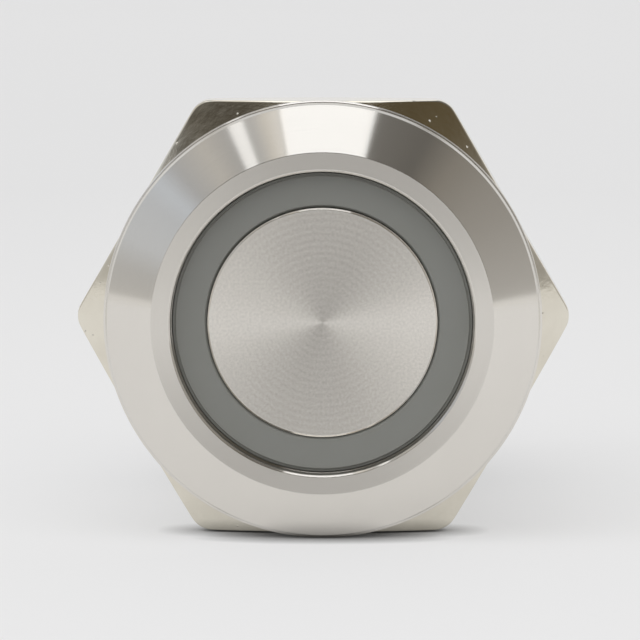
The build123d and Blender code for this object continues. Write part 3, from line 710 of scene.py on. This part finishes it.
def nut_directions():
    """Angles round the nut, with the corners sampled finely."""
    within = [0, 4, 8, 12, 15, 18, 20.5, 22.5, 24.2, 25.6, 26.8, 27.8, 28.4, 28.9, 29.4]
    half = [-a for a in reversed(within[1:])] + within
    return [math.radians(60 * side + 90 + a) for side in range(6) for a in half + [30.0]]


def nut_radius(turn):
    """Distance from the axis to the nut's side: the flat, or the turned corner where that is nearer."""
    off = (math.degrees(turn) - 90 + 30) % 60 - 30
    flat = NUT_FLAT / math.cos(math.radians(off))
    return -BLEND * math.log(math.exp((NUT_FLAT - flat) / BLEND)
                             + math.exp((NUT_FLAT - NUT_CORNER) / BLEND)) + NUT_FLAT


print("directions round the nut", len(nut_directions()))

# %% Nut
points = []
rows = []
for turn in nut_directions():
    side = nut_radius(turn)
    drop = (side - NUT_FACE) * NUT_SLOPE
    outline = softened([
        (NUT_FRONT + NUT_CHAMFER, NUT_BORE),
        (NUT_FRONT, NUT_BORE + NUT_CHAMFER),
        (NUT_FRONT, NUT_FACE),
        (NUT_FRONT + drop, side),
        (NUT_BACK - drop, side),
        (NUT_BACK, NUT_FACE),
        (NUT_BACK, NUT_BORE + NUT_CHAMFER),
        (NUT_BACK - NUT_CHAMFER, NUT_BORE),
    ], 0.09, steps=4, guard=0.02)
    rows.append(list(range(len(points), len(points) + len(outline))))
    points += [(r * math.cos(turn) * MM, depth * MM, r * math.sin(turn) * MM) for depth, r in outline]
faces = []
for row, following in zip(rows, rows[1:] + rows[:1]):
    count = len(row)
    faces += [[row[k], row[(k + 1) % count], following[(k + 1) % count], following[k]] for k in range(count)]
nut_mesh = bpy.data.meshes.new("panel_nut")
nut_mesh.from_pydata(points, [], faces)
nut = finished("panel_nut", nut_mesh, bright_nickel, sharp=60)
stand_in(nut, "switch_body", "hex_nut")

# %% [markdown]
# ## Gasket, cap, light ring and seal
# The cap is turned and the others are moulded, but all are round, so all are spun too. The cap's flat front ends in
# a fine chamfer, which shows as a bright arc at the top. The light ring stands a tenth of a millimetre behind it and
# carries the cap in its own recess. A narrow shoulder round the ring lies lower, in the shade of the bore, and shows
# as a dark line. The seal sits in a groove, and a wide flange at the back stops against the step in the bore.

# %% Gasket
GASKET = [(0.0, 9.57), (0.0, 10.6), (1.0, 10.6), (1.0, 9.57)]
gasket = spun("rubber_gasket", softened(GASKET, 0.12), nitrile_rubber)
stand_in(gasket, "switch_body", "panel_gasket")

# %% Cap
CAP_FRONT = -2.0
CAP_RADIUS = 5.74
cap_outline = softened([
    (CAP_FRONT, 0.0),
    (CAP_FRONT, CAP_RADIUS - 0.095, 0.012),
    (CAP_FRONT + 0.07, CAP_RADIUS, 0.012),
    (-0.90, CAP_RADIUS, 0.04),
    (-0.90, CAP_RADIUS - 0.9, 0.03),
    (-1.15, CAP_RADIUS - 0.9, 0.03),
    (-1.15, 2.4, 0.03),
    (-0.90, 2.4, 0.03),
    (-0.90, 1.6, 0.03),
    (1.18, 1.6, 0.03),
    (1.30, 1.48, 0.03),
    (1.30, 0.0),
], 0.03)
cap = spun("turned_cap", cap_outline, spun_steel, 192)
stand_in(cap, "button", "button_cap")

# %% Light ring
RING_FRONT = -1.9
ring_outline = softened([
    (RING_FRONT, 5.88, 0.03),
    (RING_FRONT, 7.33, 0.03),
    (-1.78, 7.34, 0.02),
    (-1.76, 7.47, 0.01),
    (-0.60, 7.47, 0.03),
    (-0.60, 6.50, 0.03),
    (0.50, 6.50, 0.03),
    (0.50, 7.32, 0.03),
    (3.62, 7.32, 0.05),
    (3.62, 8.00, 0.04),
    (4.82, 8.00, 0.04),
    (4.82, 5.90, 0.05),
    (0.30, 5.90, 0.05),
    (0.30, 1.65, 0.03),
    (-0.90, 1.65, 0.03),
    (-0.90, 5.77, 0.03),
    (-1.78, 5.77, 0.02),
], 0.04)
ring = spun("milky_light_ring", ring_outline, milky_polycarbonate, 192)
stand_in(ring, "button", "light_ring")

# %% Seal
SEAL_DEPTH, SEAL_RADIUS, SEAL_WIRE = -0.05, 6.99, 0.46
seal = spun("button_seal", [(SEAL_DEPTH + SEAL_WIRE * math.sin(a * math.pi / 10),
                             SEAL_RADIUS - SEAL_WIRE * math.cos(a * math.pi / 10)) for a in range(20)],
            nitrile_rubber, 160)
stand_in(seal, "button", "plunger_seal")

# %% [markdown]
# ## Back of the switch
# The base is a moulded plug: it closes the barrel with a collar, carries the five strips, and has a pocket at the
# back that is filled with resin. It could be modelled again with softer edges, but the photograph doesn't show it,
# and the CAD solids for it and for the pieces inside are exact and only need their finishes.


# %% Finishes for the CAD nodes that stay
def dress(material, *names):
    """Give CAD nodes this material."""
    for name in names:
        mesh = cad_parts[name].data
        mesh.materials.clear()
        mesh.materials.append(material)
    print(material.name, "on", ", ".join(names))


dress(black_nylon, "terminal_base", "chamber_cover")
dress(white_acetal, "push_stem")
dress(nitrile_rubber, "base_seal")
dress(cast_epoxy, "rear_potting")
dress(tinned_brass, "common_terminal", "closed_terminal", "open_terminal", "lamp_plus_terminal",
      "lamp_minus_terminal")
dress(spring_bronze, "contact_bridge")
dress(fine_silver, "bridge_tips", "fixed_tips")
dress(white_laminate, "lamp_board")
dress(lamp_ceramic, "lamp_chips")
dress(resistor_film, "series_resistors")

# %% [markdown]
# ## Table
# The floor is one large pale sheet that reaches the horizon, so there is no line behind the switch. The nut's lower
# flat and the rim of the head stand just on it. The sheet is milky acrylic, pale by itself: part of what the camera
# and the metal see of it is a glow that no shadow takes away, so the shadow stays faint and no light is added to the
# switch. Close to the switch ambient occlusion darkens the glow, a painted contact shadow that leaves a thin dark
# line under it. Farther back the glow fades a little, a painted falloff of light.

# %% Table
FLOOR_Z = cad_box[0][2]
CLOUD_PER_MM = 0.003
# The glow fades from near the switch to far back: a painted falloff of light.
GLOW_NEAR, GLOW_FAR = 0.49, 0.43
floor_mesh = bpy.data.meshes.new("table")
reach = 4.0
floor_mesh.from_pydata([(-reach, -reach, FLOOR_Z), (reach, -reach, FLOOR_Z), (reach, reach, FLOOR_Z),
                        (-reach, reach, FLOOR_Z)], [], [(0, 1, 2, 3)])
table = bpy.data.objects.new("table", floor_mesh)
scene.collection.objects.link(table)
print("table top at", round(FLOOR_Z / MM, 2), "mm")

# %% Milky acrylic
# Milky acrylic sheet: an even, pale grey that seems lit from inside.
milky_acrylic, tree, shader = new_material("milky_acrylic_sheet")
place = add(tree, "ShaderNodeTexCoord").outputs["Object"]
cloud = add(tree, "ShaderNodeTexNoise", {"Vector": place, "Scale": CLOUD_PER_MM / MM,
                                         "Detail": 2.0}).outputs["Fac"]
tint = ramp(tree, cloud, [(0.3, linear("#939394")), (0.7, linear("#959596"))])
path = add(tree, "ShaderNodeLightPath").outputs
camera_or_metal = add(tree, "ShaderNodeMath", {0: path["Is Camera Ray"], 1: path["Is Glossy Ray"]},
                      operation="MAXIMUM")
any_of_them = add(tree, "ShaderNodeMath", {0: camera_or_metal.outputs["Value"], 1: path["Is Transmission Ray"]},
                  operation="MAXIMUM").outputs["Value"]
# Ambient occlusion darkens the glow close to the switch: a painted contact shadow, wider for the camera than in
# reflections.
shade_reach = add(tree, "ShaderNodeMath", {0: path["Is Camera Ray"], 1: 1.2 * MM, 2: 0.7 * MM},
                  operation="MULTIPLY_ADD").outputs["Value"]
open_sky = add(tree, "ShaderNodeAmbientOcclusion", {"Distance": shade_reach}, samples=8).outputs["AO"]
depth = add(tree, "ShaderNodeSeparateXYZ", {"Vector": place}).outputs["Y"]
# The glow fades with depth: a painted falloff of light.
falling = add(tree, "ShaderNodeMapRange", {"Value": depth, "From Min": 20 * MM, "From Max": 250 * MM,
                                           "To Min": GLOW_NEAR, "To Max": GLOW_FAR}).outputs["Result"]
glow_with_painted_shade = add(tree, "ShaderNodeMath", {0: open_sky, 1: falling}, operation="MULTIPLY").outputs["Value"]
glow = add(tree, "ShaderNodeMath", {0: any_of_them, 1: glow_with_painted_shade}, operation="MULTIPLY").outputs["Value"]
give(tree, shader, {"Base Color": tint, "Emission Strength": glow, "Emission Color": (1.0, 1.0, 1.0, 1.0),
                    "Roughness": 0.9})
floor_mesh.materials.append(milky_acrylic)
print("table finish", milky_acrylic.name)

# %% [markdown]
# ## Studio
# Polished metal is only as good as what it reflects. Below the horizon it sees the white table. Above it the room
# is painted on the world by direction: dark in front, where the camera stands, lighter to the left where a
# window is, and grey to the right. An arch over the switch, from right to left, is what the bevel shows round its
# circle. A softbox in it makes the white sector at the top of the bevel, and a strip light the narrow one left of it.
# A wide sun from the front, which reflections don't see, lifts the table to a pale grey and keeps its shadow soft.
# A room could also be built from white boards, but a painted one makes no noise and each grey in it is set by itself.

# %% Directions of the room
world = bpy.data.worlds.new("studio")
scene.world = world
world.use_nodes = True
tree = world.node_tree
tree.nodes.clear()
way = add(tree, "ShaderNodeSeparateXYZ", {"Vector": add(tree, "ShaderNodeTexCoord").outputs["Generated"]}).outputs
ahead = add(tree, "ShaderNodeMath", {0: way["Y"], 1: -1.0}, operation="MULTIPLY").outputs["Value"]
bearing = add(tree, "ShaderNodeMath", {0: way["X"], 1: ahead}, operation="ARCTAN2").outputs["Value"]
turn = add(tree, "ShaderNodeMath", {0: bearing, 1: 1 / (2 * math.pi), 2: 0.5},
           operation="MULTIPLY_ADD").outputs["Value"]
print("world", world.name)


# %% Greys, ramps and steps
def grey(value, warm=0.0):
    """Linear grey, made warmer or cooler."""
    return (value * (1 + warm), value, value * (1 - 1.6 * warm), 1.0)


def bearings(*stops):
    """Colour ramp by bearing in degrees: 0 is straight ahead of the switch, -90 is left and 90 right."""
    return ramp(tree, turn, [(0.5 + degrees / 360, colour) for degrees, colour in stops])


def between(value, low, high):
    """Smooth step of a direction's part from 0 at the low value to 1 at the high one."""
    return add(tree, "ShaderNodeMapRange", {"Value": value, "From Min": low, "From Max": high},
               interpolation_type="SMOOTHSTEP").outputs["Result"]


def mixed(factor, first, second):
    """Blend of two colours."""
    return add(tree, "ShaderNodeMixRGB", {"Fac": factor, "Color1": first, "Color2": second}).outputs["Color"]


# %% The room in front, at three heights
low_room = bearings((-179, grey(0.55)), (-110, grey(0.58)), (-82, grey(0.52, 0.03)), (-40, grey(0.50, 0.02)),
                    (-16, grey(0.48, 0.02)), (-8, grey(0.25, 0.03)), (-2, grey(0.08, 0.05)), (12, grey(0.07, 0.05)),
                    (30, grey(0.16, 0.05)), (78, grey(0.42, 0.04)), (110, grey(0.50)), (179, grey(0.55)))
mid_room = bearings((-110, grey(0.60)), (-74, grey(0.60, -0.05)), (-54, grey(0.62)), (-52, grey(0.54)),
                    (-49.5, grey(0.08, 0.08)), (-20, grey(0.12, 0.05)), (0, grey(0.07, 0.10)), (25, grey(0.08, 0.10)),
                    (74, grey(0.36, 0.05)), (110, grey(0.40)))
high_room = bearings((-110, grey(0.50)), (-72, grey(0.46, 0.02)), (-54, grey(0.52)), (-52, grey(0.46)),
                     (-49.5, grey(0.065, 0.12)), (0, grey(0.06, 0.20)), (40, grey(0.085, 0.28)),
                     (60, grey(0.14, 0.15)), (72, grey(0.27, 0.05)), (110, grey(0.40)))

# %% The arch over the switch
# Its bearings go from right, 0, over the top, 90, to left, 180.
over = add(tree, "ShaderNodeMath", {0: way["Z"], 1: way["X"]}, operation="ARCTAN2").outputs["Value"]
around = add(tree, "ShaderNodeMath", {0: over, 1: 1 / math.pi}, operation="MULTIPLY").outputs["Value"]
arch = ramp(tree, around, [(degrees / 180, colour) for degrees, colour in (
    (0, grey(0.46, 0.02)), (26, grey(0.345, 0.04)), (47, grey(0.255, 0.06)), (58, grey(0.14, 0.03)),
    (72, grey(0.19, 0.02)), (102, grey(0.19, 0.02)), (104.5, grey(0.98, 0.02)), (108, grey(0.80, 0.04)),
    (112, grey(0.62)), (120, grey(0.51)), (128, grey(0.60, 0.03)), (138, grey(0.49, -0.02)),
    (144, grey(0.67, -0.07)), (150, grey(0.61, -0.05)), (162, grey(0.63, -0.04)), (170, grey(0.515)),
    (180, grey(0.53, 0.02)))])

# %% Put the room together
# Each step runs between two values of a direction's part, which is 0 across the part's axis and 1 along it.
front = mixed(between(way["Z"], 0.20, 0.40), low_room, mid_room)
front = mixed(between(way["Z"], 0.44, 0.66), front, high_room)
room = mixed(between(ahead, 0.36, 0.56), arch, front)
behind = mixed(between(way["Z"], 0.50, 0.80), grey(0.82), grey(0.42))
room = mixed(between(way["Y"], 0.05, 0.45), room, behind)
# Near the horizon everything sees the far end of the table.
room = mixed(between(way["Z"], 0.042, 0.030), room, grey(0.78, 0.01))
seen = add(tree, "ShaderNodeLightPath").outputs["Is Camera Ray"]
shown = add(tree, "ShaderNodeMixRGB", {"Fac": seen, "Color1": room, "Color2": linear("#E4E4E4")}).outputs["Color"]
background = add(tree, "ShaderNodeBackground", {"Color": shown, "Strength": 1.0}).outputs["Background"]
add(tree, "ShaderNodeOutputWorld", {"Surface": background})
print("the room is painted by", len([n for n in tree.nodes if n.type == "VALTORGB"]), "ramps")


# %% Lamps
COOL_WHITE = (0.98, 1.0, 1.035)


def area_lamp(name, left, right, radiance, colour, front, back, height=0.5):
    """Level rectangular lamp over the switch, for reflections only. A mirror shows its radiance."""
    data = bpy.data.lights.new(name, "AREA")
    data.shape = "RECTANGLE"
    data.size = right - left
    data.size_y = back - front
    data.energy = radiance * math.pi * data.size * data.size_y
    data.color = colour
    made = bpy.data.objects.new(name, data)
    made.location = ((left + right) / 2, (front + back) / 2, height)
    made.visible_diffuse = False
    made.visible_camera = False
    scene.collection.objects.link(made)
    return made


area_lamp("softbox", -0.117, 0.136, 1.20, COOL_WHITE, front=-0.30, back=0.30)
area_lamp("strip_light", -0.276, -0.226, 0.82, COOL_WHITE, front=-0.23, back=0.12)
SUN_WAY = Vector((0.14, 0.75, -1.0))
sun_data = bpy.data.lights.new("soft_sun", "SUN")
sun_data.energy = 2.4
sun_data.angle = math.radians(90)
sun = bpy.data.objects.new("soft_sun", sun_data)
sun.rotation_euler = SUN_WAY.to_track_quat("-Z", "Y").to_euler()
sun.visible_glossy = False
scene.collection.objects.link(sun)

# %% [markdown]
# ## Camera
# The photograph was taken from straight in front with a long lens, about five degrees above the switch's axis: the
# nut's upper flat shows as a thin strip, and the recessed ring sits a touch higher in its bore than the face does.
# A short lens from nearby would open the bore too much, and the shift between the circles gave the angles.

# %% Camera
ELEVATION = 5.2
AZIMUTH = 0.64
DISTANCE = 0.300
LENS, SENSOR = 338.7, 36.0
camera_data = bpy.data.cameras.new("camera")
camera_data.lens = LENS
camera_data.sensor_width = SENSOR
camera_data.clip_start = 0.01
camera_data.clip_end = 20.0
camera = bpy.data.objects.new("camera", camera_data)
aim = Vector((-0.12 * MM, -2.0 * MM, 0.14 * MM))
rise = math.radians(ELEVATION)
swing = math.radians(AZIMUTH)
direction = Vector((math.sin(swing) * math.cos(rise), -math.cos(swing) * math.cos(rise), math.sin(rise)))
camera.location = aim + direction * DISTANCE
camera.rotation_euler = (-direction).to_track_quat("-Z", "Y").to_euler()
scene.collection.objects.link(camera)
scene.camera = camera
scene.view_settings.view_transform = "Standard"
print("camera", [round(v / MM, 1) for v in camera.location])
